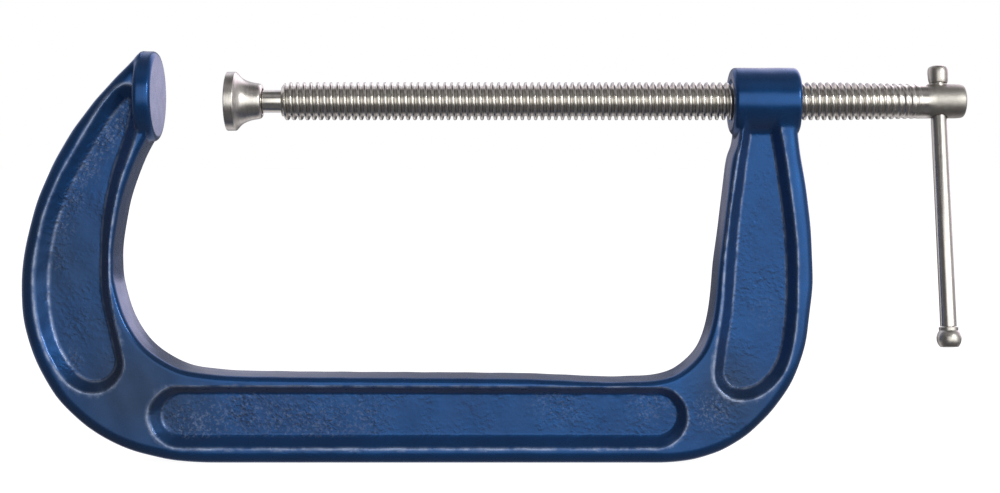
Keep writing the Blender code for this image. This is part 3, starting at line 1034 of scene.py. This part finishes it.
def make_pad():
    """Swivel pad: a flat face, a rim, a flared body and a socket open to the back."""
    face = PAD_FACE
    outside = rounded_profile([
        (face, 0.0, 0),
        (face, 11.15, 0.35),
        (face + 3.35, 11.15, 0.25),
        (face + 3.9, 10.6, 0.3),
        (face + 4.75, 9.55, 1.2),
        (face + 6.3, 8.25, 2.0),
        (face + 9.0, 7.2, 2.2),
        (face + 12.2, 6.7, 0.6),
        (face + 13.0, 6.3, 0.5),
        (face + 13.4, 5.5, 0.3),
        (face + 13.4, 4.85, 0.15),
        (face + 12.2, 4.8, 0),
    ])
    inside = [(face + 12.2, 5.5), (face + 9.6, 5.5), (face + 9.6, 4.6), (face + 8.0, 4.5)]
    inside += [*arc(face + 8.0, 4.5, range(102, 175, 12)), (face + 3.5, 0.0)]
    obj = mesh_object("swivel_pad_body", *revolve(outside + inside, PAD_SEGMENTS))
    weld(obj)
    smooth(obj, TURNED_SHARP)
    dress(obj, PAD_STEEL, "pad", "swivel_pad")


def make_bar():
    """Cross bar: a drawn rod with an upset upper head and a tenon for the ball."""
    obj = mesh_object("cross_bar", *revolve(rounded_profile([
        (-13.5, 0.0, 0),
        (-13.5, 2.5, 0.5),
        (-12.9, 3.55, 0.7),
        (-11.2, 3.85, 1.2),
        (-8.2, 3.65, 0.8),
        (-6.9, 3.30, 0.25),
        (-6.8, BAR_RADIUS, 0),
        (-6.65, BAR_RADIUS, 0),     # keeps the shaft straight below the shifted head
        (60.0, BAR_RADIUS, 0),
        (BALL_TOP - 0.3, BAR_RADIUS, 0),
        (BALL_TOP - 0.3, TENON_RADIUS, 0),
        (BALL_TOP + TENON_LENGTH, TENON_RADIUS, 0),
        (BALL_TOP + TENON_LENGTH, 0.0, 0),
    ]), FINE_SEGMENTS))
    for vertex in obj.data.vertices:
        if vertex.co.x < KNOB_START * MM:
            vertex.co.z += KNOB_OFFSET * MM
    stand_on_bar(obj)
    weld(obj)
    smooth(obj, TURNED_SHARP)
    set_attribute(obj, "dull_and_root_shade", KNOB_BRUSHED * rise(vertex_places(obj)[2], 6.0, 1.0))
    dress(obj, BAR_STEEL, "bar", "tommy_bar")


def make_ball():
    """Ball on the bar's lower end, with a collar, a flat end and a socket for the tenon."""
    top = BALL_TOP
    floor, socket = top + TENON_LENGTH + 0.4, TENON_RADIUS + 0.3
    inside = [(floor, 0.0), (floor, socket), (top, socket)]
    collar = [(top, 3.3), (top + 0.25, 3.52)]
    sphere = arc(top + 4.25, BALL_RADIUS, range(130, 45, -6))
    flat = [(top + 7.25, 2.9), (top + 7.4, 2.3), (top + 7.4, 0.0)]
    obj = mesh_object("bar_ball", *revolve(inside + collar + sphere + flat, FINE_SEGMENTS))
    stand_on_bar(obj)
    weld(obj)
    smooth(obj, TURNED_SHARP)
    dress(obj, BALL_STEEL, "bar", "bar_ball_cap")


make_frame()
make_screw()
make_pad()
make_bar()
make_ball()

# The ring stays the CAD mesh, in steel
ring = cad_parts["pad_snap_ring"]
ring.data.materials.clear()
ring.data.materials.append(RING_STEEL)

# ---------------------------------------------------------------- camera, floor and light

CAMERA_PLACE = (0.1256, -0.583, -0.0245)
LENS = 55.44
SHIFT = (0.010, -0.0805)
FLOOR_SIZE = 40_000.0       # far past the view on every side
FLOOR_GLOW = 0.95
LIGHT_TARGET = Vector((0.12, 0.0, -0.05))

camera_data = bpy.data.cameras.new("camera")
camera_data.sensor_width = 36.0
camera_data.lens = LENS
camera_data.shift_x, camera_data.shift_y = SHIFT
camera = bpy.data.objects.new("camera", camera_data)
camera.location = CAMERA_PLACE
camera.rotation_euler = (math.pi / 2, 0.0, 0.0)
bpy.context.scene.collection.objects.link(camera)
bpy.context.scene.camera = camera


def make_floor():
    """Pale, nearly shadowless floor, seen by the camera but not in reflections or soft light."""
    graph = Graph("pale_floor", Roughness=0.95, Specular_IOR_Level=0.0)
    greys = (0.3, (0.28, 0.28, 0.28)), (0.7, (0.30, 0.30, 0.30))
    graph.link(graph.colours(graph.noise(6.0, 2.0), *greys), graph.shader, "Base Color")
    graph.shader.inputs["Emission Color"].default_value = (1.0, 1.0, 1.0, 1.0)
    graph.shader.inputs["Emission Strength"].default_value = FLOOR_GLOW
    size = FLOOR_SIZE
    corners = [(-size, -size), (size, -size), (size, size), (-size, size)]
    floor = mesh_object("floor", [(x, y, BOTTOM_Z) for x, y in corners], [(0, 1, 2, 3)])
    floor.data.materials.append(graph.material)
    floor.visible_glossy = floor.visible_diffuse = False


def area_light(name, azimuth, elevation, distance, width, height, power):
    """A soft box round the clamp: azimuth 0 is at the camera's side and 90 is at +X."""
    data = bpy.data.lights.new(name, "AREA")
    data.shape = "RECTANGLE"
    data.size, data.size_y = width, height
    data.energy = power
    light = bpy.data.objects.new(name, data)
    a, e = math.radians(azimuth), math.radians(elevation)
    away = Vector((math.sin(a) * math.cos(e), -math.cos(a) * math.cos(e), math.sin(e)))
    light.location = LIGHT_TARGET + away * distance
    light.rotation_euler = (-away).to_track_quat("-Z", "Y").to_euler()
    bpy.context.scene.collection.objects.link(light)


def make_world():
    """White behind the object for the camera; a dim room with soft boxes for all other rays."""
    world = bpy.data.worlds.new("studio")
    world.use_nodes = True
    nodes, links = world.node_tree.nodes, world.node_tree.links
    nodes.clear()

    def maths(kind, a, b=0.0):
        return math_node(world.node_tree, kind, a, b)

    def both(a, b):
        return maths("MULTIPLY", a, b)

    def step(source, low, high):
        """0 at low and 1 at high, smooth between them."""
        node = nodes.new("ShaderNodeMapRange")
        node.interpolation_type = "SMOOTHSTEP"
        node.inputs["From Min"].default_value = low
        node.inputs["From Max"].default_value = high
        links.new(source, node.inputs["Value"])
        return node.outputs["Result"]

    place = nodes.new("ShaderNodeTexCoord")
    split = nodes.new("ShaderNodeSeparateXYZ")
    links.new(place.outputs["Generated"], split.inputs["Vector"])
    x, y, z = (split.outputs[axis] for axis in "XYZ")
    azimuth = maths("DEGREES", maths("ARCTAN2", x, maths("MULTIPLY", y, -1.0)))
    elevation = maths("DEGREES", maths("ARCSINE", z))

    def box(left, right, low, high):
        """Share of light inside a window of directions, in degrees.

        Each edge is a pair: where the light is gone and where it is full.
        """
        across = both(step(azimuth, *left), step(azimuth, *right))
        return both(across, both(step(elevation, *low), step(elevation, *high)))

    def glow(strength, colour, share=None):
        """Even light, or light where the share says."""
        light = nodes.new("ShaderNodeBackground")
        light.inputs["Color"].default_value = (*colour, 1.0)
        if share is None:
            light.inputs["Strength"].default_value = strength
        else:
            links.new(both(share, strength), light.inputs["Strength"])
        return light.outputs["Background"]

    behind = step(y, 0.15, 0.70)
    near_top = step(z, 0.97, 0.72)
    below_top = both(behind, near_top)
    wall = both(behind, step(z, -0.03, 0.04))
    # Strength, colour and share of each light. "Behind" is the far side of the clamp.
    lights = [glow(*light) for light in (
        # The dim room, its far wall, and the wall's upper and lower parts
        (0.125, (0.96, 0.94, 1.0)),
        (0.04, (1.0, 0.93, 1.10), both(wall, near_top)),
        (0.48, (0.95, 0.95, 1.08), both(below_top, step(z, 0.22, 0.60))),
        (0.68, (1.0, 0.96, 1.0), both(below_top, step(z, -0.25, -0.60))),
        # The wall on the right, which the jaw disc mirrors, and on the left
        (1.50, (1.07, 0.93, 1.07), both(wall, step(x, 0.08, 0.24))),
        (0.40, (1.0, 0.94, 1.08), both(wall, step(x, -0.03, -0.18))),
        # The right side, and a ring under the top
        (0.16, (1.0, 0.96, 1.0), both(step(x, 0.55, 0.95), step(z, -0.7, 0.0))),
        (0.20, (1.0, 0.98, 1.0), both(step(z, 0.55, 0.75), step(z, 0.97, 0.86))),
        # Soft boxes: right, left and in front
        (0.24, (1.0, 0.98, 1.0), box((40, 70), (112, 84), (-30, -5), (60, 30))),
        (0.42, (1.0, 0.98, 1.0), box((-150, -132), (-80, -98), (-45, -20), (45, 20))),
        (1.75, (1.0, 0.99, 0.98), box((-36, -7), (74, 54), (-22, -6), (32, 18))),
    )]
    total = lights[0]
    for light in lights[1:]:
        node = nodes.new("ShaderNodeAddShader")
        links.new(total, node.inputs[0])
        links.new(light, node.inputs[1])
        total = node.outputs["Shader"]
    path = nodes.new("ShaderNodeLightPath")
    mix = nodes.new("ShaderNodeMixShader")
    out = nodes.new("ShaderNodeOutputWorld")
    links.new(path.outputs["Is Camera Ray"], mix.inputs["Fac"])
    links.new(total, mix.inputs[1])
    links.new(glow(1.0, (1.0, 1.0, 1.0)), mix.inputs[2])
    links.new(mix.outputs["Shader"], out.inputs["Surface"])
    bpy.context.scene.world = world


make_floor()
make_world()
area_light("lamp", azimuth=45.0, elevation=20.0, distance=1.15, width=0.13, height=0.34, power=3.4)
bpy.context.scene.view_settings.view_transform = "Standard"
